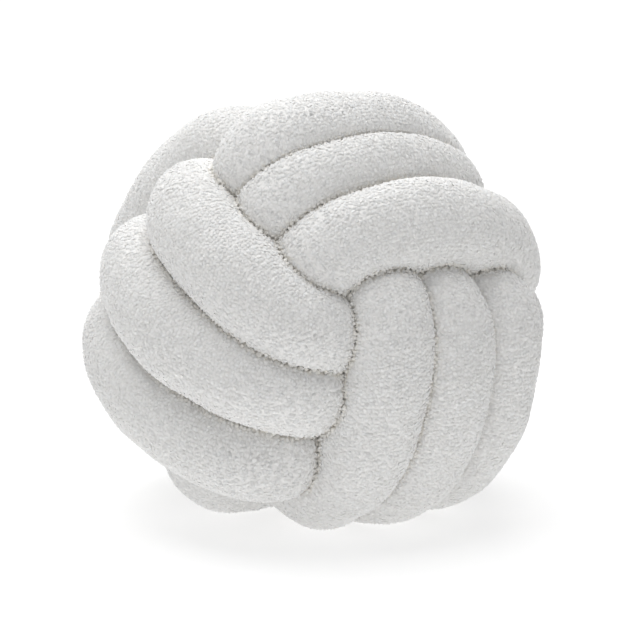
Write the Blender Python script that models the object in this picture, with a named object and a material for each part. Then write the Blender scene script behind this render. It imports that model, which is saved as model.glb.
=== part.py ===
"""Knot cushion: one long stuffed cloth tube, tied into a ball of three crossing coils.

Metres, +Z up.  The origin is under the middle of the ball, on the surface it rests on.
+X is to the right of someone who stands at -Y and looks along +Y.
"""

import bpy
import numpy as np

# ---- driving dimensions, metres and degrees --------------------------------------------------
BALL_RADIUS = 0.151  # middle of the ball to the back of an outer turn
TUBE_RADIUS = 0.033  # the stuffed tube, where nothing presses on it
TURN_SPACING = 0.0415  # one turn of a coil to the next, at the outside of the ball
PATH_RADIUS = BALL_RADIUS - TUBE_RADIUS  # middle of the ball to the middle of the tube

DIVE_ANGLE = 48.5  # from the top of a turn to where it is half way down under the next coil
DIVE_SPREAD = 5.0  # how gradually it goes down
MIDDLE_TURN_DEPTH = 0.080  # middle of the ball to the tube, where a middle turn is inside
OUTER_TURN_DEPTH = 0.046  # the same for a coil's first and last turn, in the plane of the turn
INNER_SPACING = 0.029  # one turn to the next on the inside passes
INSIDE_ANGLE = 49.0  # from here to 90 degrees, the turns close up and go deeper
STEP_OVER = 84.0  # degrees of the hidden pass in which the tube moves on to its next turn
END_TRIM = 34.0  # degrees left off a coil's first and last pass, for the run to the next coil
# How far the two runs between coils swing out where they leave and arrive, as shares of their length
LINK_SWINGS = ((1.9, 0.5), (0.4, 0.4))
LINK_POINTS = 24  # points of its curve
COIL_STEP = 3.75  # degrees from one point of a coil to the next
KINK_SOFTENING = 4  # times the points of the coils and links are softened
PATH_SOFTENING = 6  # times the finer points of the whole path are softened

PRESS_SHARPNESS = 8.0  # how square the tube gets where two turns press on each other
HALF_GAP = 0.0005  # from the tube to the half-way surface between it and its neighbour

SAG_WIDTH = 0.075  # how much wider the lower half sits, as a share
SAG_WIDTH_DEPTH = 0.12  # how far below the middle it reaches that width
SAG_DROP = 0.08  # how much the lowest turns are squashed upward, as a share
SAG_DROP_DEPTH = 0.15  # how far below the middle that is reached
TOP_DROP = 0.013  # how much the highest turns sink, as a share
TOP_DROP_HEIGHT = 0.12  # how far above the middle that is reached
FOOT_PRESS = 0.013  # how far the lowest turns are pressed flat on the surface

PATH_STEP = 0.003  # along the tube, one point of its middle line to the next
RING_STEP = 0.0145  # along the tube, one ring of the mesh to the next
HIDDEN_RING_STEP = 0.026  # the same on the inside passes
SHOWN_DEPTH = 0.088  # middle of the ball to the deepest stretch of tube that shows
SHOWN_BLEND = 0.010  # over which the rings grow sparser below that
OUTER_SIDES = 11  # corners of a ring on its outward half
INNER_SIDES = 5  # and on its inward half
OUTWARD_HALF = 95.0  # degrees from straight outward to the last of the outward corners
UPRIGHT_PULL = 0.25  # share by which each path point turns its ring back to face outward
UPRIGHT_DEPTH = 0.05  # middle of the ball to where that pull is full
END_LENGTH = 0.030  # rounded length of each sewn-up end
OWN_STRETCH = 20  # path points to each side of a ring that count as its own stretch
DRAW_IN_PASSES = 4  # times the corners are drawn in to clear the neighbouring turns

# How the ball is turned: the middle of coil A's, B's and C's outer faces, as directions
COIL_FACES = (
    ("A", (-0.750, -0.649, 0.128)),
    ("B", (0.509, -0.690, -0.514)),
    ("C", (0.422, -0.321, 0.848)),
)

# How each turn strays from an even knot, on the "front" face that COIL_FACES points to and on the
# opposite "back" face.  In millimetres: to the side of its coil, leaning (opposite ways at its two
# ends), bowed (its middle only), out from the ball, and tipped (further in where it starts this face
# and further out where it leaves it).  In degrees: how much later it goes down at the end where it
# starts this face and where it leaves it.  Turn 1 is on the side of COIL_FACES.
STRAY_COLUMNS = ("coil", "turn", "face", "side", "lean", "bow", "out", "tip", "start", "end")
STRAYS = (
    ("A", 1, "front", 3.5, 1.5, 6.5, 2, 0, -14, 1),
    ("A", 0, "front", 7, 8, -10, 0, 0, -9, 7),
    ("A", -1, "front", 0, 3, -13, 4, 0, -12, 10),
    ("B", 1, "front", -14.7, 11.3, 7.2, -1.5, 2, 0, 0),
    ("B", 0, "front", -9.4, 10.7, 1.1, 0, 0, -2, 0),
    ("B", -1, "front", -7.2, 6, -5.8, 6, 0, 1, 0),
    ("C", 1, "front", 0, -1, 4, 1.5, -2.5, 5, 0),
    ("C", 0, "front", -1, 2, -2, -3, 5, -9, 0),
    ("C", -1, "front", 9, -3.5, 4, 7, 9, -9, -5),
    ("A", 1, "back", 2, 3, -2, 0, 0, 0, 0),
    ("A", 0, "back", -1, 4, 2, 0, 0, 0, 0),
    ("A", -1, "back", 1, 2, 3, 0, 0, 0, 0),
    ("B", 1, "back", 6, 4, 2, 6, 4, 0, 0),
    ("B", 0, "back", 1, -4, 1, 0, 0, 0, 0),
    ("B", -1, "back", 2, -2, -2, 0, 0, 0, 0),
    ("C", 1, "back", -4, 3, 2, -3, 0, -6, 0),
    ("C", 0, "back", -8, 4, -1, -9, 0, -8, 0),
    ("C", -1, "back", -5, 2, -3, 0, 0, 0, 0),
)
LEAN_ANGLE = 45.0  # from the middle of a face to where a lean is full
BOW_LEAST = -0.4  # where a bow stops turning the other way, past the ends of a face
FADE_ANGLE = 50.0  # from the middle of a face to where straying starts to fade out
FADE_SPREAD = 36.0  # degrees over which it fades
MILLIMETRE = 0.001

CLOTH_COLOUR = (0.70, 0.68, 0.65, 1.0)
CLOTH_ROUGHNESS = 0.95


def smooth_step(share):
    """0 up to share 0, 1 from share 1, and 3s^2 - 2s^3 in between."""
    s = np.clip(share, 0.0, 1.0)
    return s * s * (3.0 - 2.0 * s)


def unit(vectors):
    return vectors / np.linalg.norm(vectors, axis=-1, keepdims=True)


def stray(coil, turn, angle):
    """How far a turn strays at each angle from its front face: aside, out and in dive angle.

    With a the angle from the middle of a face, it lies aside by
    side + lean * sin(a) / sin(LEAN_ANGLE) + bow * (1 - (a / DIVE_ANGLE)^2),
    and further out by out + tip * sin(a) / sin(LEAN_ANGLE).
    All of it fades to nothing where the turn is inside the ball.
    """
    aside = np.zeros_like(angle)
    out = np.zeros_like(angle)
    later = np.zeros_like(angle)
    for row in STRAYS:
        entry = dict(zip(STRAY_COLUMNS, row))
        if (entry["coil"], entry["turn"]) != (coil, turn):
            continue
        middle = 0.0 if entry["face"] == "front" else 180.0
        a = (angle - middle + 180.0) % 360.0 - 180.0
        fade = 1.0 - smooth_step((np.abs(a) - FADE_ANGLE) / FADE_SPREAD)
        lean = np.sin(np.radians(a)) / np.sin(np.radians(LEAN_ANGLE))
        bow = np.maximum(1.0 - (a / DIVE_ANGLE) ** 2, BOW_LEAST)
        across = entry["side"] + entry["lean"] * lean + entry["bow"] * bow
        aside = aside + across * MILLIMETRE * fade
        out = out + (entry["out"] + entry["tip"] * lean) * MILLIMETRE * fade
        at_end = np.where(a < 0.0, entry["start"], entry["end"])
        later = later + np.where(np.abs(a) > 90.0, 0.0, at_end)
    return aside, out, later


def one_turn(coil, turn, angle):
    """In-plane radius and sideways place of one turn, at each angle from its front face.

    The middle of the tube runs on a sphere of PATH_RADIUS over the outer faces and goes down to
    the inside passes at DIVE_ANGLE.
    """
    astray, out, later = stray(coil, turn, angle)
    from_face = np.abs((angle + 90.0) % 180.0 - 90.0)
    outside = 0.5 * (1.0 - np.tanh((from_face - DIVE_ANGLE - later) / DIVE_SPREAD))
    inside = smooth_step((from_face - INSIDE_ANGLE) / (90.0 - INSIDE_ANGLE))
    spacing = TURN_SPACING + (INNER_SPACING - TURN_SPACING) * inside
    aside = turn * spacing + astray
    outer = out + np.sqrt(PATH_RADIUS**2 - aside**2)
    deepest = MIDDLE_TURN_DEPTH if turn == 0 else OUTER_TURN_DEPTH
    inner = MIDDLE_TURN_DEPTH + (deepest - MIDDLE_TURN_DEPTH) * inside
    return inner + (outer - inner) * outside, aside


def coil_path(coil):
    """Middle line of a coil's three turns, as (face, pass, stack) places.

    The tube goes round from turn -1 to 0 to 1.  It moves on to the next turn within STEP_OVER
    degrees of the pass at -90 degrees, which is inside the ball.
    """
    angle = np.arange(-90.0 + END_TRIM, 990.0 - END_TRIM, COIL_STEP)
    turns = [one_turn(coil, turn, angle) for turn in (-1, 0, 1)]
    radii = np.array([radius for radius, aside in turns])
    asides = np.array([aside for radius, aside in turns])
    place = (angle + 90.0) / 360.0
    nearest = np.round(place)
    before = np.clip(nearest - 1, 0, 2).astype(int)
    after = np.clip(nearest, 0, 2).astype(int)
    moved = smooth_step((place - nearest) * 360.0 / STEP_OVER + 0.5)
    sample = np.arange(len(angle))
    radius = radii[before, sample] * (1.0 - moved) + radii[after, sample] * moved
    aside = asides[before, sample] * (1.0 - moved) + asides[after, sample] * moved
    turned = np.radians(angle)
    return np.stack([radius * np.cos(turned), radius * np.sin(turned), aside], axis=1)


def link(start, start_way, finish, finish_way, swings):
    """A Hermite curve between two coils, without its two end points."""
    gap = np.linalg.norm(finish - start)
    u = np.linspace(0.0, 1.0, LINK_POINTS)[1:-1, None]
    return (
        (2 * u**3 - 3 * u**2 + 1) * start
        + (u**3 - 2 * u**2 + u) * swings[0] * gap * start_way
        + (3 * u**2 - 2 * u**3) * finish
        + (u**3 - u**2) * swings[1] * gap * finish_way
    )


def length_along(points):
    """Distance from the first point to each point, along the line."""
    steps = np.linalg.norm(np.diff(points, axis=0), axis=1)
    return np.concatenate([[0.0], np.cumsum(steps)])


def spread_evenly(points, step):
    """The same line with a point about every `step` metres, straight from point to point."""
    along = length_along(points)
    wanted = np.linspace(0.0, along[-1], int(round(along[-1] / step)) + 1)
    return np.stack([np.interp(wanted, along, column) for column in points.T], axis=1)


def soften(points, times):
    """Each point but the ends moved to a quarter, a half and a quarter of itself and its neighbours."""
    for _ in range(times):
        middle = 0.25 * points[:-2] + 0.5 * points[1:-1] + 0.25 * points[2:]
        points = np.concatenate([points[:1], middle, points[-1:]])
    return points


def sag(points):
    """The lower half sits wider, and the lowest and highest turns flatter, by their own weight."""
    below = -points[:, 2]
    wider = 1.0 + SAG_WIDTH * smooth_step(below / SAG_WIDTH_DEPTH)
    flatter = 1.0 - SAG_DROP * smooth_step(below / SAG_DROP_DEPTH)
    flatter = flatter - TOP_DROP * smooth_step(-below / TOP_DROP_HEIGHT)
    return points * np.stack([wider, wider, flatter], axis=1)


def tube_path():
    """Middle line of the whole tube, about the middle of the ball, turned as it rests."""
    coils = [np.roll(coil_path(name), i, axis=1) for i, (name, face) in enumerate(COIL_FACES)]
    line = coils[:1]
    for last, coming, swings in zip(coils, coils[1:], LINK_SWINGS):
        leave = unit(last[-1] - last[-2])
        arrive = unit(coming[1] - coming[0])
        line += [link(last[-1], leave, coming[0], arrive, swings), coming]
    even = spread_evenly(soften(np.concatenate(line), KINK_SOFTENING), PATH_STEP)
    faces = np.array([face for name, face in COIL_FACES])
    left, _, right = np.linalg.svd(faces)
    square_axes = left @ right
    return sag(soften(even, PATH_SOFTENING) @ square_axes)


def ring_frames(path):
    """Two directions across the tube at each point, the first one kept near straight outward."""
    along = unit(np.gradient(path, axis=0))
    outward = np.zeros_like(path)
    across = path[0] - along[0] * (path[0] @ along[0])
    outward[0] = unit(across)
    for i in range(1, len(path)):
        carried = outward[i - 1] - along[i] * (outward[i - 1] @ along[i])
        radial = path[i] - along[i] * (path[i] @ along[i])
        pull = UPRIGHT_PULL * min(1.0, np.linalg.norm(radial) / UPRIGHT_DEPTH)
        mixed = unit(carried) * (1.0 - pull) + unit(radial) * pull
        outward[i] = unit(mixed - along[i] * (mixed @ along[i]))
    return outward, np.cross(along, outward)


def corner_angles():
    """Angles of a ring's corners from straight outward, closer together on the outward half."""
    outer = np.linspace(-OUTWARD_HALF, OUTWARD_HALF, OUTER_SIDES)
    inner = np.linspace(OUTWARD_HALF, 360.0 - OUTWARD_HALF, INNER_SIDES + 2)[1:-1]
    return np.radians(np.concatenate([outer, inner]))


def ring_numbers(path):
    """Which points of the path carry a ring: one each RING_STEP, or HIDDEN_RING_STEP inside."""
    hidden = smooth_step((SHOWN_DEPTH - np.linalg.norm(path, axis=1)) / SHOWN_BLEND)
    step = RING_STEP + (HIDDEN_RING_STEP - RING_STEP) * hidden
    count = np.cumsum(PATH_STEP / step)
    wanted = np.linspace(count[0], count[-1], int(round(count[-1])) + 1)
    return np.unique(np.searchsorted(count, wanted - 1e-9).clip(0, len(path) - 1))


def pressed_radius(path, rings, ways):
    """How far the tube's skin is from its middle, along each of the `ways` of each ring.

    A turn may swell to the surface half way to every other stretch of the tube.  Half way to a
    point q is |q|^2 / (2 w.q) along w.  The skin is at (TUBE_RADIUS^-p + limit^-p)^(-1/p), so it
    is round where it is free and flat where it is pressed.
    """
    limit = np.empty(ways.shape[:2])
    for i, ring in enumerate(rings):
        apart = path - path[ring]
        squared = (apart**2).sum(axis=1)
        towards = ways[i] @ apart.T
        meets = np.where(towards > 1e-9, squared / np.maximum(2.0 * towards, 1e-9), 1.0)
        limit[i] = meets.min(axis=1) - HALF_GAP
    p = PRESS_SHARPNESS
    return (TUBE_RADIUS**-p + limit**-p) ** (-1.0 / p)


def past_half_way(path, rings, middles, rings_on):
    """How far each point is past the half-way surface, less HALF_GAP, or 0 where it isn't.

    A point belongs to the stretch of the path near its own ring.  It is past half way where
    another stretch is nearer.
    """
    past = np.zeros(middles.shape[:2])
    for i, points in enumerate(middles):
        distance = np.linalg.norm(points[:, None] - path[None], axis=2)
        first = max(rings[i] - OWN_STRETCH, 0)
        own = slice(first, rings[i + rings_on] + OWN_STRETCH)
        nearest_own = distance[:, own].min(axis=1)
        distance[:, own] = np.inf
        past[i] = nearest_own - distance.min(axis=1) + 2.0 * HALF_GAP
    return np.maximum(past, 0.0) / 2.0


def drawn_in(path, rings, ways, reach):
    """The reach of each corner, less where a flat face would cut past the half-way surface."""
    for _ in range(DRAW_IN_PASSES):
        corners = path[rings, None] + ways * reach[:, :, None]
        less = np.zeros_like(reach)
        for rings_on, corners_on in ((0, 1), (1, 0), (1, 1), (1, -1)):
            partner = np.roll(corners, -corners_on, axis=1)[rings_on:]
            near = len(rings) - rings_on
            past = past_half_way(path, rings, 0.5 * (corners[:near] + partner), rings_on)
            less[:near] = np.maximum(less[:near], past)
            less[rings_on:] = np.maximum(less[rings_on:], np.roll(past, corners_on, axis=1))
        reach = reach - less
    return reach


def end_taper(path):
    """1 along the tube and 0 at its two ends, as half an ellipse END_LENGTH long."""
    along = length_along(path)
    from_end = np.minimum(along, along[-1] - along)
    share = np.clip(from_end / END_LENGTH, 0.0, 1.0)
    return np.sqrt(np.maximum(1.0 - (1.0 - share) ** 2, 0.0))


def skin_points():
    """The corners of every ring of the tube, and the two end points, with the foot at z = 0."""
    path = tube_path()
    rings = ring_numbers(path)
    outward, sideways = ring_frames(path)
    turned = corner_angles()[:, None]
    ways = outward[rings, None] * np.cos(turned) + sideways[rings, None] * np.sin(turned)
    floor = (path[:, 2] - TUBE_RADIUS).min() + FOOT_PRESS
    reach = drawn_in(path, rings, ways, pressed_radius(path, rings, ways))
    down = np.maximum(-ways[:, :, 2], 1e-6)
    reach = np.minimum(reach, (path[rings, None, 2] - floor) / down)
    reach = reach * end_taper(path)[rings, None]
    corners = (path[rings, None] + ways * reach[:, :, None])[1:-1]
    low = corners.min(axis=(0, 1))
    high = corners.max(axis=(0, 1))
    foot = np.array([(low[0] + high[0]) / 2.0, (low[1] + high[1]) / 2.0, floor])
    return corners - foot, path[[0, -1]] - foot


def tube_faces(rings, sides):
    """Four-cornered faces between rings, and a fan of triangles at each end."""
    ring = np.arange(rings - 1)[:, None] * sides
    corner = np.arange(sides)[None]
    following = (corner + 1) % sides
    quads = [ring + corner, ring + following, ring + sides + following, ring + sides + corner]
    faces = np.stack(quads, axis=-1).reshape(-1, 4).tolist()
    first_tip = rings * sides
    last_tip = first_tip + 1
    last_ring = (rings - 1) * sides
    for i in range(sides):
        j = (i + 1) % sides
        faces.append([first_tip, j, i])
        faces.append([last_tip, last_ring + i, last_ring + j])
    return faces


def cloth_material():
    material = bpy.data.materials.new("boucle_cloth")
    material.use_nodes = True
    shader = material.node_tree.nodes["Principled BSDF"]
    shader.inputs["Base Color"].default_value = CLOTH_COLOUR
    shader.inputs["Roughness"].default_value = CLOTH_ROUGHNESS
    shader.inputs["Metallic"].default_value = 0.0
    material.diffuse_color = CLOTH_COLOUR
    return material


def build_tube():
    rings, tips = skin_points()
    corners = np.concatenate([rings.reshape(-1, 3), tips])
    mesh = bpy.data.meshes.new("knotted_tube")
    mesh.from_pydata(corners.tolist(), [], tube_faces(rings.shape[0], rings.shape[1]))
    mesh.shade_smooth()
    mesh.materials.append(cloth_material())
    tube = bpy.data.objects.new("knotted_tube", mesh)
    bpy.context.scene.collection.objects.link(tube)
    return tube


def clear_scene():
    for existing in list(bpy.data.objects):
        bpy.data.objects.remove(existing, do_unlink=True)


clear_scene()
build_tube()
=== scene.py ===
"""Knot cushion: the cloth tube and the nubs of its boucle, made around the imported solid.

Metres, +Z up.  The tube's middle line is worked out from the same sizes as the solid's.  A finer skin is
laid on it, and thousands of small nubs of yarn on the skin.
"""

import bpy
import numpy as np
from mathutils import Matrix, Vector


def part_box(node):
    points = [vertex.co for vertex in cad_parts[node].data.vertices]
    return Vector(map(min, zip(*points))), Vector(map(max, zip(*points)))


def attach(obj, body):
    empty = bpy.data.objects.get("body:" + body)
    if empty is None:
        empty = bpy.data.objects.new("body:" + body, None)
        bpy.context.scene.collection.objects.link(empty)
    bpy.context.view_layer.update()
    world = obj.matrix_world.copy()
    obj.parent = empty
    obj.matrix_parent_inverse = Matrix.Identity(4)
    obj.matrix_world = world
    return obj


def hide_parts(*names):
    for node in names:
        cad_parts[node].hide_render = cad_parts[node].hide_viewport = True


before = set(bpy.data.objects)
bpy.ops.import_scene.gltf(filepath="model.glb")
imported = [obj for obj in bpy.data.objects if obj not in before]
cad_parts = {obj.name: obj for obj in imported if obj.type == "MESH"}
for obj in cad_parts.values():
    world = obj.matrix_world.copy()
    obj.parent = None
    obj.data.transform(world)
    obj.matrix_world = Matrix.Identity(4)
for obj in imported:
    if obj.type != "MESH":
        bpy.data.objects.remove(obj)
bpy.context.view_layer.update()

# ---- the knot, metres and degrees, as in the solid ---------------------------------------------
BALL_RADIUS = 0.151  # middle of the ball to the back of an outer turn
TUBE_RADIUS = 0.033  # the stuffed tube, where nothing presses on it
TURNS = (-1, 0, 1)  # each coil's turns, in the order in which the tube goes round
TURN_SPACING = 0.0415  # one turn of a coil to the next, at the outside of the ball
PATH_RADIUS = BALL_RADIUS - TUBE_RADIUS  # middle of the ball to the middle of the tube

DIVE_ANGLE = 48.5  # from the top of a turn to where it is half way down under the next coil
DIVE_SPREAD = 5.0  # how gradually it goes down
MIDDLE_TURN_DEPTH = 0.080  # middle of the ball to the tube, where a middle turn is inside
OUTER_TURN_DEPTH = 0.046  # the same for a coil's first and last turn, in the plane of the turn
INNER_SPACING = 0.029  # one turn to the next on the inside passes
INSIDE_ANGLE = 49.0  # from here to 90 degrees, the turns close up and go deeper
STEP_OVER = 84.0  # degrees of the hidden pass in which the tube moves on to its next turn
END_TRIM = 34.0  # degrees left off a coil's first and last pass, for the run to the next coil
# How far each of the two runs between coils swings out where it leaves and where it arrives, as
# shares of the distance between its ends
LINK_SWINGS = ((1.9, 0.5), (0.4, 0.4))
LINK_POINTS = 24  # points of the curve of each run
COIL_STEP = 3.75  # degrees from one point of a coil to the next
KINK_SOFTENING = 4  # times the points of the coils and links are softened
PATH_SOFTENING = 6  # times the finer points of the whole path are softened

SAG_WIDTH = 0.075  # how much wider the lower half sits, as a share
SAG_WIDTH_DEPTH = 0.12  # how far below the middle it reaches that width
SAG_DROP = 0.08  # how much the lowest turns are squashed upward, as a share
SAG_DROP_DEPTH = 0.15  # how far below the middle that is reached
TOP_DROP = 0.013  # how much the highest turns sink, as a share
TOP_DROP_HEIGHT = 0.12  # how far above the middle that is reached
FOOT_PRESS = 0.013  # how far the lowest turns are pressed flat on the surface

# How the ball is turned: the middle of coil A's, B's and C's outer faces, as directions
COIL_FACES = (
    ("A", (-0.750, -0.649, 0.128)),
    ("B", (0.509, -0.690, -0.514)),
    ("C", (0.422, -0.321, 0.848)),
)

# How each turn strays from an even knot, on the "front" face that COIL_FACES points to and on the
# opposite "back" face.  In millimetres: to the side of its coil, leaning (opposite ways at its two
# ends), bowed (its middle only), out from the ball, and tipped (further in where it starts this face
# and further out where it leaves it).  In degrees: how much later it goes down at the end where it
# starts this face and where it leaves it.  Turn 1 is on the side of COIL_FACES.
STRAY_COLUMNS = ("coil", "turn", "face", "side", "lean", "bow", "out", "tip", "start", "end")
STRAYS = (
    ("A", 1, "front", 3.5, 1.5, 6.5, 2, 0, -14, 1),
    ("A", 0, "front", 7, 8, -10, 0, 0, -9, 7),
    ("A", -1, "front", 0, 3, -13, 4, 0, -12, 10),
    ("B", 1, "front", -14.7, 11.3, 7.2, -1.5, 2, 0, 0),
    ("B", 0, "front", -9.4, 10.7, 1.1, 0, 0, -2, 0),
    ("B", -1, "front", -7.2, 6, -5.8, 6, 0, 1, 0),
    ("C", 1, "front", 0, -1, 4, 1.5, -2.5, 5, 0),
    ("C", 0, "front", -1, 2, -2, -3, 5, -9, 0),
    ("C", -1, "front", 9, -3.5, 4, 7, 9, -9, -5),
    ("A", 1, "back", 2, 3, -2, 0, 0, 0, 0),
    ("A", 0, "back", -1, 4, 2, 0, 0, 0, 0),
    ("A", -1, "back", 1, 2, 3, 0, 0, 0, 0),
    ("B", 1, "back", 6, 4, 2, 6, 4, 0, 0),
    ("B", 0, "back", 1, -4, 1, 0, 0, 0, 0),
    ("B", -1, "back", 2, -2, -2, 0, 0, 0, 0),
    ("C", 1, "back", -4, 3, 2, -3, 0, -6, 0),
    ("C", 0, "back", -8, 4, -1, -9, 0, -8, 0),
    ("C", -1, "back", -5, 2, -3, 0, 0, 0, 0),
)
LEAN_ANGLE = 45.0  # from the middle of a face to where a lean is full
BOW_LEAST = -0.4  # where a bow stops turning the other way, past the ends of a face
FADE_ANGLE = 50.0  # from the middle of a face to where straying starts to fade out
FADE_SPREAD = 36.0  # degrees over which it fades
MILLIMETRE = 0.001

# ---- the skin ------------------------------------------------------------------------------------
PATH_STEP = 0.003  # along the tube, one ring of the skin to the next
# Where two turns press on each other the cloth is squarer and closer than the solid's skin
PRESS_SHARPNESS = 10.0  # how square the tube gets there
HALF_GAP = 0.0002  # from the skin to the half-way surface between it and its neighbour
HIDDEN_EVERY = 4  # inside the ball, one ring in this many is kept
SHOWN_DEPTH = 0.064  # middle of the ball to the deepest stretch of tube that shows
SIDES = 52  # corners of a ring
FAR_OFF = 1.0  # where the half-way surface is taken to be, along a direction that never meets it
TINY = 1e-9  # stands in for a length of nothing that something is divided by
TINY_AREA = 1e-12  # the same for an area
LEAST_DOWN = 1e-6  # the same for how far a direction points down
UPRIGHT_PULL = 0.25  # share by which each path point turns its ring back to face outward
UPRIGHT_DEPTH = 0.05  # middle of the ball to where that pull is full
END_LENGTH = 0.030  # rounded length of each sewn-up end
RANDOM_SEED = 11
LUMP_WAVES = 24  # waves that add up to the unevenness of the filling
LUMP_SIZES = (0.030, 0.075)  # shortest and longest of them
LUMP_HEIGHT = 0.0006  # how far the filling typically swells or dips

# ---- the nubs of the boucle ------------------------------------------------------------------------
NUB_ROW_STEP = 0.0005  # along the tube, one place where a nub could stand to the next
NUB_COLUMNS = 88  # lines of nubs round the tube
NUB_AREA = 5.9e-6  # cloth to one nub, in square metres
LAST_ROW_MARGIN = 0.001  # rows by which a nub that has strayed stays short of the skin's last row
NUB_STRAY = 0.0015  # width of the square in which a nub strays at random
NUB_RADIUS = 0.0015
NUB_RADII_VARY = (0.8, 1.2)  # thinnest and thickest nub, as shares of that
NUB_STRETCH = (1.0, 1.5)  # least and most that a nub is longer than wide
NUB_HEIGHT = 0.00118  # from the skin to the top of a nub
NUB_HEIGHTS_VARY = (0.65, 1.25)  # lowest and highest nub, as shares of that
NUB_ROOT = 0.0007  # how far a nub reaches down into the skin
NUB_TILT = 0.17  # how far nubs lean at random, as the tangent of the lean
NUB_CORNERS = 5  # corners round its waist
NUB_WAIST = 0.12  # height of its widest place, as a share of its height
NUB_SINK = 0.0008  # the skin lies this much below the tube's own radius, and the nubs make up for it
NUB_LEAST_ROOM = 0.00012  # no nub stands where the half-way surface is closer than this
FURROW_ROOM = 0.0016  # room below which nubs grow to meet those of the next turn
FURROW_FADE = 0.0021  # room over which that fades out
FURROW_FILL = 0.85  # how much of the room they fill there, as a share
FURROW_SPREAD = 0.25  # and how much wider they are there, as a share
NUB_DEPTH = 0.100  # middle of the ball to the deepest nub
NUB_PIECES = 4  # objects that the nubs are shared out to, along the tube

# ---- the yarn ------------------------------------------------------------------------------------
# Nubs lie between the first two colours. Down in a furrow between two turns the cloth nears the third,
# paler and warmer: painted light that lightens the shade there
CLOTH_COLOUR = (0.91, 0.903, 0.889, 1.0)
# The second is the darker end of the nubs' random tone, and painted shade in the cloth under them
DARKER_TONE_AND_SHADE_COLOUR = (0.81, 0.802, 0.787, 1.0)
FURROW_PAINTED_LIGHT_COLOUR = (0.92, 0.893, 0.84, 1.0)
YARN_ROUGHNESS = 0.95
YARN_SPECULAR = 0.2
# Sockets of a Mix node that mixes colours
MIX_FACTOR = 0
MIX_FIRST = 6
MIX_SECOND = 7
MIXED = 2

# ---- camera, lights and floor ----------------------------------------------------------------------
CAMERA_DISTANCE = 1.519  # from the middle of the ball
CAMERA_ELEVATION = 12.0  # degrees above the level of the ball's middle
CAMERA_LENS = 130.3  # millimetres, on a sensor 36 wide
BALL_IN_VIEW = (315.9, 315.6)  # pixels from the left and top edges of the view to the ball's middle
VIEW_SIDE = 640.0  # pixels
FLOOR_SIDE = 24.0
FLOOR_GREY = (0.5, 0.5, 0.5, 1.0)
WHITE = (1.0, 1.0, 1.0, 1.0)
# The floor's glow: from the nearer to the further distance it rises from the lower to the higher
# strength, so that the weaker glow near the middle, round the cushion, is a painted shadow
FLOOR_GLOW = {"From Min": 0.2, "From Max": 2.4, "To Min": 0.6, "To Max": 0.95}
WORLD_COLOUR = (0.985, 0.99, 1.0, 1.0)
WORLD_STRENGTH = 0.25
# Each lamp's name, place, side and watts
SOFTBOXES = (
    ("softbox_above", (-0.2, 0.4, 2.05), 2.2, 49.0),
    ("softbox_left", (-1.6, -0.7, 1.2), 1.6, 1.2),
    ("softbox_front", (-0.1, -2.2, 1.2), 1.6, 6.2),
)

random = np.random.default_rng(RANDOM_SEED)


def smooth_step(share):
    """0 up to share 0, 1 from share 1, and 3s^2 - 2s^3 in between."""
    s = np.clip(share, 0.0, 1.0)
    return s * s * (3.0 - 2.0 * s)


def unit(vectors):
    """Each vector over its own length."""
    return vectors / np.linalg.norm(vectors, axis=-1, keepdims=True)


def stray(coil, turn, angle):
    """How far a turn strays at each angle from its front face: aside, out and in dive angle.

    With a the angle from the middle of a face, it lies aside by
    side + lean * sin(a) / sin(LEAN_ANGLE) + bow * (1 - (a / DIVE_ANGLE)^2),
    and further out by out + tip * sin(a) / sin(LEAN_ANGLE).
    All of it fades to nothing where the turn is inside the ball.
    """
    aside = np.zeros_like(angle)
    out = np.zeros_like(angle)
    later = np.zeros_like(angle)
    for row in STRAYS:
        entry = dict(zip(STRAY_COLUMNS, row))
        if (entry["coil"], entry["turn"]) != (coil, turn):
            continue
        middle = 0.0 if entry["face"] == "front" else 180.0
        a = (angle - middle + 180.0) % 360.0 - 180.0
        fade = 1.0 - smooth_step((np.abs(a) - FADE_ANGLE) / FADE_SPREAD)
        lean = np.sin(np.radians(a)) / np.sin(np.radians(LEAN_ANGLE))
        bow = np.maximum(1.0 - (a / DIVE_ANGLE) ** 2, BOW_LEAST)
        across = entry["side"] + entry["lean"] * lean + entry["bow"] * bow
        aside = aside + across * MILLIMETRE * fade
        out = out + (entry["out"] + entry["tip"] * lean) * MILLIMETRE * fade
        at_end = np.where(a < 0.0, entry["start"], entry["end"])
        later = later + np.where(np.abs(a) > 90.0, 0.0, at_end)
    return aside, out, later


def one_turn(coil, turn, angle):
    """In-plane radius and sideways place of one turn, at each angle from its front face.

    The middle of the tube runs on a sphere of PATH_RADIUS over the outer faces and goes down to
    the inside passes at DIVE_ANGLE.
    """
    astray, out, later = stray(coil, turn, angle)
    from_face = np.abs((angle + 90.0) % 180.0 - 90.0)
    outside = 0.5 * (1.0 - np.tanh((from_face - DIVE_ANGLE - later) / DIVE_SPREAD))
    inside = smooth_step((from_face - INSIDE_ANGLE) / (90.0 - INSIDE_ANGLE))
    spacing = TURN_SPACING + (INNER_SPACING - TURN_SPACING) * inside
    aside = turn * spacing + astray
    outer = out + np.sqrt(PATH_RADIUS**2 - aside**2)
    deepest = MIDDLE_TURN_DEPTH if turn == 0 else OUTER_TURN_DEPTH
    inner = MIDDLE_TURN_DEPTH + (deepest - MIDDLE_TURN_DEPTH) * inside
    return inner + (outer - inner) * outside, aside


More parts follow.
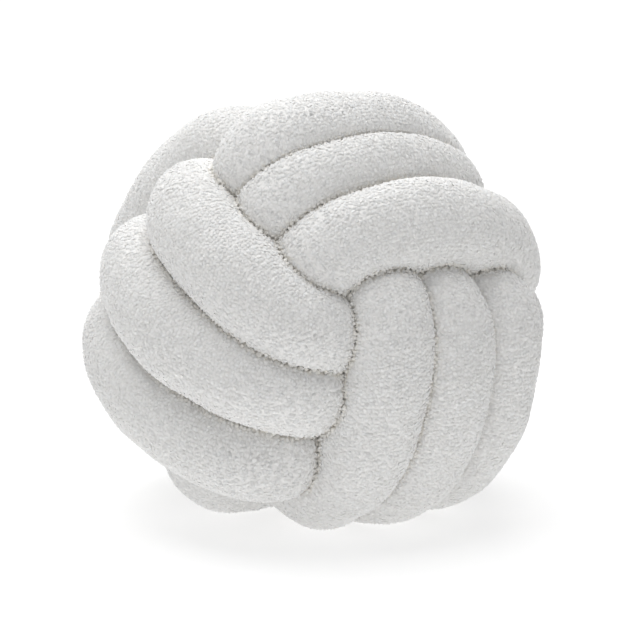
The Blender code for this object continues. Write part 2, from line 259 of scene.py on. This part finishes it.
def coil_path(coil):
    """Middle line of a coil's turns, as (face, pass, stack) places.

    The tube goes round from the first of TURNS to the last.  It moves on to the next turn within
    STEP_OVER degrees of the pass at -90 degrees, which is inside the ball.
    """
    last = len(TURNS) - 1
    angle = np.arange(-90.0 + END_TRIM, len(TURNS) * 360.0 - 90.0 - END_TRIM, COIL_STEP)
    turns = [one_turn(coil, turn, angle) for turn in TURNS]
    radii = np.array([radius for radius, aside in turns])
    asides = np.array([aside for radius, aside in turns])
    place = (angle + 90.0) / 360.0
    nearest = np.round(place)
    before = np.clip(nearest - 1, 0, last).astype(int)
    after = np.clip(nearest, 0, last).astype(int)
    moved = smooth_step((place - nearest) * 360.0 / STEP_OVER + 0.5)
    sample = np.arange(len(angle))
    radius = radii[before, sample] * (1.0 - moved) + radii[after, sample] * moved
    aside = asides[before, sample] * (1.0 - moved) + asides[after, sample] * moved
    turned = np.radians(angle)
    return np.stack([radius * np.cos(turned), radius * np.sin(turned), aside], axis=1)


def link(start, start_way, finish, finish_way, swings):
    """A Hermite curve between two coils, without its two end points."""
    gap = np.linalg.norm(finish - start)
    u = np.linspace(0.0, 1.0, LINK_POINTS)[1:-1, None]
    return (
        (2 * u**3 - 3 * u**2 + 1) * start
        + (u**3 - 2 * u**2 + u) * swings[0] * gap * start_way
        + (3 * u**2 - 2 * u**3) * finish
        + (u**3 - u**2) * swings[1] * gap * finish_way
    )


def length_along(points):
    """Distance from the first point to each point, along the line."""
    steps = np.linalg.norm(np.diff(points, axis=0), axis=1)
    return np.concatenate([[0.0], np.cumsum(steps)])


def spread_evenly(points, step):
    """The same line with a point about every `step` metres, straight from point to point."""
    along = length_along(points)
    wanted = np.linspace(0.0, along[-1], int(round(along[-1] / step)) + 1)
    return np.stack([np.interp(wanted, along, column) for column in points.T], axis=1)


def soften(points, times):
    """Each point but the ends moved to a quarter, a half and a quarter of itself and its neighbours."""
    for _ in range(times):
        middle = 0.25 * points[:-2] + 0.5 * points[1:-1] + 0.25 * points[2:]
        points = np.concatenate([points[:1], middle, points[-1:]])
    return points


def sag(points):
    """The lower half sits wider, and the lowest and highest turns flatter, by their own weight."""
    below = -points[:, 2]
    wider = 1.0 + SAG_WIDTH * smooth_step(below / SAG_WIDTH_DEPTH)
    flatter = 1.0 - SAG_DROP * smooth_step(below / SAG_DROP_DEPTH)
    flatter = flatter - TOP_DROP * smooth_step(-below / TOP_DROP_HEIGHT)
    return points * np.stack([wider, wider, flatter], axis=1)


def tube_path():
    """Middle line of the whole tube, about the middle of the ball, turned as it rests."""
    coils = [np.roll(coil_path(name), i, axis=1) for i, (name, face) in enumerate(COIL_FACES)]
    line = coils[:1]
    for last, coming, swings in zip(coils, coils[1:], LINK_SWINGS):
        leave = unit(last[-1] - last[-2])
        arrive = unit(coming[1] - coming[0])
        line += [link(last[-1], leave, coming[0], arrive, swings), coming]
    even = spread_evenly(soften(np.concatenate(line), KINK_SOFTENING), PATH_STEP)
    faces = np.array([face for name, face in COIL_FACES])
    left, _, right = np.linalg.svd(faces)
    square_axes = left @ right
    return sag(soften(even, PATH_SOFTENING) @ square_axes)


def ring_frames(path):
    """Two directions across the tube at each point, the first one kept near straight outward."""
    along = unit(np.gradient(path, axis=0))
    outward = np.zeros_like(path)
    across = path[0] - along[0] * (path[0] @ along[0])
    outward[0] = unit(across)
    for i in range(1, len(path)):
        carried = outward[i - 1] - along[i] * (outward[i - 1] @ along[i])
        radial = path[i] - along[i] * (path[i] @ along[i])
        pull = UPRIGHT_PULL * min(1.0, np.linalg.norm(radial) / UPRIGHT_DEPTH)
        mixed = unit(carried) * (1.0 - pull) + unit(radial) * pull
        outward[i] = unit(mixed - along[i] * (mixed @ along[i]))
    return outward, np.cross(along, outward)


def waves(places, sizes, count):
    """A smooth random height of about -1 to 1 at each place.

    It is the sum of `count` sine waves over the square root of half their number, each in a random
    direction, with a length between the two sizes.
    """
    directions = unit(random.normal(size=(count, 3)))
    lengths = random.uniform(sizes[0], sizes[1], count)
    starts = random.uniform(0.0, 2.0 * np.pi, count)
    total = np.zeros(places.shape[:-1])
    for direction, length, start in zip(directions, lengths, starts):
        total += np.sin(places @ direction * (2.0 * np.pi / length) + start)
    return total / np.sqrt(count / 2.0)


def half_way(path, rings, ways):
    """Distance from the middle of each ring to the surface half way to the rest of the tube.

    Half way to a point q is |q|^2 / (2 w.q) along a direction w, and the nearest one counts.
    """
    limit = np.empty(ways.shape[:2])
    for i, ring in enumerate(rings):
        apart = path - path[ring]
        squared = (apart**2).sum(axis=1)
        towards = ways[i] @ apart.T
        meets = squared / np.maximum(2.0 * towards, TINY)
        meets = np.where(towards > TINY, meets, FAR_OFF)
        limit[i] = meets.min(axis=1)
    return limit - HALF_GAP


def end_taper(path):
    """1 along the tube and 0 at its two ends, as half an ellipse END_LENGTH long."""
    along = length_along(path)
    from_end = np.minimum(along, along[-1] - along)
    share = np.clip(from_end / END_LENGTH, 0.0, 1.0)
    return np.sqrt(np.maximum(1.0 - (1.0 - share) ** 2, 0.0))


def shown_rings(path):
    """Every point of the path where the tube shows, and one in HIDDEN_EVERY inside the ball."""
    shown = np.linalg.norm(path, axis=1) > SHOWN_DEPTH
    kept = shown | (np.arange(len(path)) % HIDDEN_EVERY == 0)
    kept[[0, -1]] = True
    return np.flatnonzero(kept)


def tube_skin(path):
    """Skin points by ring and corner, and the room from each to the half-way surface.

    A free corner is at r = TUBE_RADIUS - NUB_SINK + lumps from the middle line, and a pressed one at
    (r^-p + limit^-p)^(-1/p), so it is round where it is free and flat where it is pressed.
    """
    rings = shown_rings(path)
    outward, sideways = ring_frames(path)
    turned = np.linspace(0.0, 2.0 * np.pi, SIDES, endpoint=False)[:, None]
    ways = outward[rings, None] * np.cos(turned) + sideways[rings, None] * np.sin(turned)
    middles = path[rings, None]
    free = TUBE_RADIUS - NUB_SINK
    free = free + LUMP_HEIGHT * waves(middles + ways * free, LUMP_SIZES, LUMP_WAVES)
    limit = half_way(path, rings, ways)
    p = PRESS_SHARPNESS
    reach = (free**-p + limit**-p) ** (-1.0 / p)
    room = limit - reach
    floor = (path[:, 2] - TUBE_RADIUS).min() + FOOT_PRESS + NUB_SINK
    down = np.maximum(-ways[:, :, 2], LEAST_DOWN)
    reach = np.minimum(reach, (middles[:, :, 2] - floor) / down)
    reach = reach * end_taper(path)[rings, None]
    return middles + ways * reach[:, :, None], room


def normals_and_areas(points):
    """Outward direction at each point of the skin, and the area of cloth that it stands for.

    Both come from the cross product of its steps round and along the tube.
    """
    along = np.gradient(points, axis=0)
    around = (np.roll(points, -1, axis=1) - np.roll(points, 1, axis=1)) / 2.0
    across = np.cross(around, along)
    size = np.linalg.norm(across, axis=2, keepdims=True)
    return across / np.maximum(size, TINY_AREA), size[:, :, 0]


def on_grid(grid, row, column):
    """A grid's value at fractional rows and columns, in straight lines; the columns go round."""
    low_row = np.floor(row).astype(int)
    low_column = np.floor(column).astype(int)
    down = (row - low_row).reshape((-1,) + (1,) * (grid.ndim - 2))
    right = (column - low_column).reshape(down.shape)
    columns = grid.shape[1]
    left_side = low_column % columns
    right_side = (low_column + 1) % columns
    upper = grid[low_row, left_side] * (1.0 - right) + grid[low_row, right_side] * right
    lower = grid[low_row + 1, left_side] * (1.0 - right) + grid[low_row + 1, right_side] * right
    return upper * (1.0 - down) + lower * down


def nub_places(skin, areas, room):
    """Rows and columns of the skin grid where a nub stands.

    NUB_COLUMNS lines run along the tube, and along each one the area of cloth beside it adds up.
    A nub stands wherever the sum passes a whole number of NUB_AREA, from 0 on even lines and from
    a half on odd ones, and then it strays by up to half of NUB_STRAY each way.  None stands where
    there is no room or deep in the ball.
    """
    rows = np.arange(1.0, len(skin) - 2.0, NUB_ROW_STEP / PATH_STEP)
    columns = np.arange(NUB_COLUMNS) * (SIDES / NUB_COLUMNS)
    row, column = np.meshgrid(rows, columns, indexing="ij")
    size = on_grid(areas, row.ravel(), column.ravel()).reshape(row.shape)
    size = size * (NUB_ROW_STEP / PATH_STEP) * (SIDES / NUB_COLUMNS)
    sums = np.cumsum(size, axis=0) / NUB_AREA + 0.5 * (np.arange(NUB_COLUMNS) % 2)
    passed = np.diff(np.floor(sums), axis=0, prepend=0.0) > 0.0
    row = row[passed]
    column = column[passed]
    row = row + random.uniform(-0.5, 0.5, len(row)) * NUB_STRAY / PATH_STEP
    side = 2.0 * np.pi * TUBE_RADIUS / SIDES
    column = column + random.uniform(-0.5, 0.5, len(row)) * NUB_STRAY / side
    row = np.clip(row, 0.0, len(skin) - 1.0 - LAST_ROW_MARGIN)
    kept = on_grid(room, row, column) > NUB_LEAST_ROOM
    kept &= np.linalg.norm(on_grid(skin, row, column), axis=1) > NUB_DEPTH
    return row[kept], column[kept]


def furrow_share(room):
    """0 where the tube is free and 1 down in the furrow between two turns."""
    return 1.0 - smooth_step((room - FURROW_ROOM) / FURROW_FADE)


def nub_points(skin, normals, room, row, column):
    """Corners of each nub: its top, the ring round its waist and its root.

    With n outward from the skin and t, b across it, turned at random, corner k of the waist is at
    n * waist + t * a cos(k) + b * c sin(k), with a and c its long and its short half.
    """
    count = len(row)
    place = on_grid(skin, row, column)
    up = unit(on_grid(normals, row, column) + NUB_TILT * random.normal(size=(count, 3)))
    any_way = random.normal(size=(count, 3))
    long_way = unit(any_way - up * (any_way * up).sum(axis=1, keepdims=True))
    short_way = np.cross(up, long_way)
    in_furrow = furrow_share(on_grid(room, row, column))
    fill = on_grid(room, row, column) * in_furrow * FURROW_FILL
    height = (NUB_HEIGHT + fill) * random.uniform(*NUB_HEIGHTS_VARY, count)
    radius = NUB_RADIUS * random.uniform(*NUB_RADII_VARY, count)
    radius = radius * (1.0 + FURROW_SPREAD * in_furrow)
    stretch = random.uniform(*NUB_STRETCH, count)
    long_half = radius * np.sqrt(stretch)
    short_half = radius / np.sqrt(stretch)
    turned = np.linspace(0.0, 2.0 * np.pi, NUB_CORNERS, endpoint=False)
    waist = (
        place[:, None]
        + up[:, None] * (height * NUB_WAIST)[:, None, None]
        + long_way[:, None] * (long_half[:, None] * np.cos(turned))[:, :, None]
        + short_way[:, None] * (short_half[:, None] * np.sin(turned))[:, :, None]
    )
    top = place + up * height[:, None]
    root = place - up * NUB_ROOT
    return np.concatenate([top[:, None], waist, root[:, None]], axis=1)


def grid_faces(rings, sides):
    """Four-cornered faces between rings, as corner numbers."""
    ring = np.arange(rings - 1)[:, None] * sides
    corner = np.arange(sides)[None]
    following = (corner + 1) % sides
    quads = [ring + corner, ring + following, ring + sides + following, ring + sides + corner]
    return np.stack(quads, axis=-1).reshape(-1, 4)


def nub_faces(count):
    """Triangles from the top of each nub to its waist, and from there to its root."""
    corner = np.arange(NUB_CORNERS)
    following = (corner + 1) % NUB_CORNERS
    top = np.zeros_like(corner)
    root = np.full_like(corner, NUB_CORNERS + 1)
    upper = np.stack([top, corner + 1, following + 1], axis=1)
    lower = np.stack([root, following + 1, corner + 1], axis=1)
    one = np.concatenate([upper, lower])
    first = np.arange(count)[:, None, None] * (NUB_CORNERS + 2)
    return (first + one[None]).reshape(-1, 3)


def new_piece(name, points, faces, material):
    """A smooth mesh object at the origin, from arrays of points and of three- or four-cornered faces."""
    mesh = bpy.data.meshes.new(name)
    mesh.vertices.add(len(points))
    mesh.vertices.foreach_set("co", points.astype(np.float32).ravel())
    corners = np.concatenate([f.ravel() for f in faces])
    counts = np.concatenate([np.full(len(f), f.shape[1]) for f in faces])
    mesh.loops.add(len(corners))
    mesh.loops.foreach_set("vertex_index", corners.astype(np.int32))
    mesh.polygons.add(len(counts))
    starts = np.concatenate([[0], np.cumsum(counts)[:-1]])
    mesh.polygons.foreach_set("loop_start", starts.astype(np.int32))
    mesh.update(calc_edges=True)
    mesh.validate()
    mesh.shade_smooth()
    mesh.materials.append(material)
    piece = bpy.data.objects.new(name, mesh)
    bpy.context.scene.collection.objects.link(piece)
    return piece


def add_node(material, kind, **settings):
    """A new shader node with its inputs and settings given by name."""
    node = material.node_tree.nodes.new(kind)
    for name, value in settings.items():
        if hasattr(node, name):
            setattr(node, name, value)
        else:
            node.inputs[name.replace("_", " ")].default_value = value
    return node


def new_material(name):
    """A material, its shader and its links."""
    material = bpy.data.materials.new(name)
    material.use_nodes = True
    return material, material.node_tree.nodes["Principled BSDF"], material.node_tree.links


def paint_light_in_furrows(material, colour):
    """Painted light: the colour, paler and warmer where the attribute "furrow" is near 1, into the
    shader.
    """
    furrow = add_node(material, "ShaderNodeAttribute", attribute_name="furrow")
    mixed = add_node(material, "ShaderNodeMix", data_type="RGBA")
    mixed.inputs[MIX_SECOND].default_value = FURROW_PAINTED_LIGHT_COLOUR
    material.node_tree.links.new(furrow.outputs["Fac"], mixed.inputs[MIX_FACTOR])
    material.node_tree.links.new(colour, mixed.inputs[MIX_FIRST])
    shader = material.node_tree.nodes["Principled BSDF"]
    material.node_tree.links.new(mixed.outputs[MIXED], shader.inputs["Base Color"])


def boucle_nub_material():
    """Off-white yarn: each nub a little lighter or darker, with fine fibres in relief."""
    material, shader, links = new_material("boucle_nubs")
    tint = add_node(material, "ShaderNodeAttribute", attribute_name="tint")
    ramp = add_node(material, "ShaderNodeMix", data_type="RGBA")
    ramp.inputs[MIX_FIRST].default_value = DARKER_TONE_AND_SHADE_COLOUR
    ramp.inputs[MIX_SECOND].default_value = CLOTH_COLOUR
    links.new(tint.outputs["Fac"], ramp.inputs[MIX_FACTOR])
    # Painted light: paler and warmer down in the furrows between turns
    paint_light_in_furrows(material, ramp.outputs[MIXED])
    place = add_node(material, "ShaderNodeTexCoord")
    fibres = add_node(material, "ShaderNodeTexNoise", Scale=2600.0, Detail=2.0)
    links.new(place.outputs["Object"], fibres.inputs["Vector"])
    relief = add_node(material, "ShaderNodeBump", Strength=0.35, Distance=0.0003)
    links.new(fibres.outputs["Fac"], relief.inputs["Height"])
    links.new(relief.outputs["Normal"], shader.inputs["Normal"])
    shader.inputs["Roughness"].default_value = YARN_ROUGHNESS
    shader.inputs["Subsurface Weight"].default_value = 0.5
    shader.inputs["Subsurface Radius"].default_value = (1.0, 0.95, 0.9)
    shader.inputs["Subsurface Scale"].default_value = 0.0012
    shader.inputs["Sheen Weight"].default_value = 0.15
    shader.inputs["Sheen Roughness"].default_value = 0.6
    shader.inputs["Specular IOR Level"].default_value = YARN_SPECULAR
    return material


def boucle_ground_material():
    """The cloth between the nubs, a shade darker: painted shade in the grooves between its small cells in
    relief.
    """
    material, shader, links = new_material("boucle_ground")
    place = add_node(material, "ShaderNodeTexCoord")
    cells = add_node(material, "ShaderNodeTexVoronoi", Scale=420.0)
    links.new(place.outputs["Object"], cells.inputs["Vector"])
    # Painted shade: darker towards the edges of the cells, which the relief sinks into grooves
    ramp = add_node(material, "ShaderNodeMix", data_type="RGBA")
    ramp.inputs[MIX_FIRST].default_value = CLOTH_COLOUR
    ramp.inputs[MIX_SECOND].default_value = DARKER_TONE_AND_SHADE_COLOUR
    links.new(cells.outputs["Distance"], ramp.inputs[MIX_FACTOR])
    # Painted light: paler and warmer down in the furrows between turns
    paint_light_in_furrows(material, ramp.outputs[MIXED])
    relief = add_node(material, "ShaderNodeBump", Strength=0.5, Distance=0.001)
    relief.invert = True
    links.new(cells.outputs["Distance"], relief.inputs["Height"])
    links.new(relief.outputs["Normal"], shader.inputs["Normal"])
    shader.inputs["Roughness"].default_value = YARN_ROUGHNESS
    shader.inputs["Specular IOR Level"].default_value = YARN_SPECULAR
    return material


def crease_waists(piece):
    """Ends smooth shading at each nub's waist, so that its shallow top is shaded as it is shaped."""
    mesh = piece.data
    ends = np.empty(2 * len(mesh.edges), dtype=np.int32)
    mesh.edges.foreach_get("vertices", ends)
    ends = ends.reshape(-1, 2) % (NUB_CORNERS + 2)
    creased = ((ends > 0) & (ends <= NUB_CORNERS)).all(axis=1)
    sharp = mesh.attributes.new("sharp_edge", "BOOLEAN", "EDGE")
    sharp.data.foreach_set("value", creased)


def set_shade(piece, name, values):
    """A named number for each vertex, which its material reads."""
    shade = piece.data.attributes.new(name, "FLOAT", "POINT")
    shade.data.foreach_set("value", values.astype(np.float32))


def make_tube(skin, room, ends):
    """The cloth of the tube, in place of the solid's. A fan of triangles closes it at each end."""
    inner = skin[1:-1]
    rings = len(inner)
    points = np.concatenate([inner.reshape(-1, 3), ends])
    corner = np.arange(SIDES)
    following = (corner + 1) % SIDES
    first_tip = np.full(SIDES, rings * SIDES)
    last_ring = (rings - 1) * SIDES
    first_fan = np.stack([first_tip, following, corner], axis=1)
    last_fan = np.stack([first_tip + 1, last_ring + corner, last_ring + following], axis=1)
    faces = [grid_faces(rings, SIDES), np.concatenate([first_fan, last_fan])]
    tube = new_piece("boucle_tube", points, faces, boucle_ground_material())
    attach(tube, "root")
    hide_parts("knotted_tube")
    # Where the tube lies in a furrow, for the painted light there
    set_shade(tube, "furrow", furrow_share(np.concatenate([room[1:-1].ravel(), [0.0, 0.0]])))


def make_nubs(nubs, in_furrow):
    """The nubs, shared out along the tube to NUB_PIECES objects, each nub with its own tint."""
    yarn = boucle_nub_material()
    tints = random.uniform(0.0, 1.0, len(nubs))
    stretches = zip(*(np.array_split(each, NUB_PIECES) for each in (nubs, tints, in_furrow)))
    for number, (stretch, tint, furrow) in enumerate(stretches, 1):
        faces = nub_faces(len(stretch))
        piece = new_piece(f"boucle_nubs_{number}", stretch.reshape(-1, 3), [faces], yarn)
        crease_waists(piece)
        set_shade(piece, "tint", np.repeat(tint, NUB_CORNERS + 2))
        # Where each nub lies in a furrow, for the painted light there
        set_shade(piece, "furrow", np.repeat(furrow, NUB_CORNERS + 2))
        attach(piece, "root")


def make_cushion():
    """The skin of the tube and the nubs on it. Returns the place of the ball's middle."""
    path = tube_path()
    skin, room = tube_skin(path)
    normals, areas = normals_and_areas(skin)
    row, column = nub_places(skin, areas, room)
    nubs = nub_points(skin, normals, room, row, column)

    low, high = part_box("knotted_tube")
    own_low = skin.min(axis=(0, 1))
    own_high = skin.max(axis=(0, 1))
    middle = (np.array(low) + np.array(high) - own_low - own_high) / 2.0
    middle[2] = low[2] - (path[:, 2] - TUBE_RADIUS).min() - FOOT_PRESS
    skin = skin + middle
    nubs = nubs + middle
    nubs[:, :, 2] = np.maximum(nubs[:, :, 2], low[2])

    make_tube(skin, room, path[[0, -1]] + middle)
    make_nubs(nubs, furrow_share(on_grid(room, row, column)))
    return Vector(middle)


def make_floor():
    """A wide pale floor under the cushion, glowing less near its middle as a painted shadow round the
    cushion.
    """
    half = FLOOR_SIDE / 2.0
    mesh = bpy.data.meshes.new("floor")
    corners = [(-half, -half, 0.0), (half, -half, 0.0), (half, half, 0.0), (-half, half, 0.0)]
    mesh.from_pydata(corners, [], [(0, 1, 2, 3)])
    material, shader, links = new_material("pale_floor")
    shader.inputs["Base Color"].default_value = FLOOR_GREY
    shader.inputs["Roughness"].default_value = 1.0
    shader.inputs["Emission Color"].default_value = WHITE
    place = add_node(material, "ShaderNodeTexCoord")
    distance = add_node(material, "ShaderNodeVectorMath", operation="LENGTH")
    # Painted shadow: the glow is weaker near the middle of the floor, where the cushion stands
    glow = add_node(material, "ShaderNodeMapRange")
    for name, value in FLOOR_GLOW.items():
        glow.inputs[name].default_value = value
    links.new(place.outputs["Object"], distance.inputs[0])
    links.new(distance.outputs["Value"], glow.inputs["Value"])
    links.new(glow.outputs["Result"], shader.inputs["Emission Strength"])
    mesh.materials.append(material)
    floor = bpy.data.objects.new("floor", mesh)
    bpy.context.scene.collection.objects.link(floor)


def add_softbox(name, place, aim, size, watts):
    """A square lamp that faces the point it aims at."""
    lamp = bpy.data.lights.new(name, "AREA")
    lamp.energy = watts
    lamp.size = size
    softbox = bpy.data.objects.new(name, lamp)
    softbox.location = place
    softbox.rotation_euler = (aim - Vector(place)).to_track_quat("-Z", "Y").to_euler()
    bpy.context.scene.collection.objects.link(softbox)


def light_studio(middle):
    """White surroundings, and soft lamps above, to the left and in front."""
    world = bpy.data.worlds.new("studio")
    world.use_nodes = True
    background = world.node_tree.nodes["Background"]
    background.inputs["Color"].default_value = WORLD_COLOUR
    background.inputs["Strength"].default_value = WORLD_STRENGTH
    bpy.context.scene.world = world
    for name, place, size, watts in SOFTBOXES:
        add_softbox(name, place, middle, size, watts)


def place_camera(middle):
    """Looks at the ball from CAMERA_ELEVATION above, from the front, with the ball off centre."""
    tilt = np.radians(CAMERA_ELEVATION)
    right = Vector((1.0, 0.0, 0.0))
    up = Vector((0.0, np.sin(tilt), np.cos(tilt)))
    back = Vector((0.0, -np.cos(tilt), np.sin(tilt)))
    lens = bpy.data.cameras.new("camera")
    lens.lens = CAMERA_LENS
    lens.shift_x = (VIEW_SIDE / 2.0 - BALL_IN_VIEW[0]) / VIEW_SIDE
    lens.shift_y = (BALL_IN_VIEW[1] - VIEW_SIDE / 2.0) / VIEW_SIDE
    camera = bpy.data.objects.new("camera", lens)
    turned = Matrix([right, up, back]).transposed().to_4x4()
    camera.matrix_world = Matrix.Translation(middle + back * CAMERA_DISTANCE) @ turned
    bpy.context.scene.collection.objects.link(camera)
    bpy.context.scene.camera = camera


middle = make_cushion()
make_floor()
light_studio(middle)
place_camera(middle)
bpy.context.scene.view_settings.view_transform = "Standard"
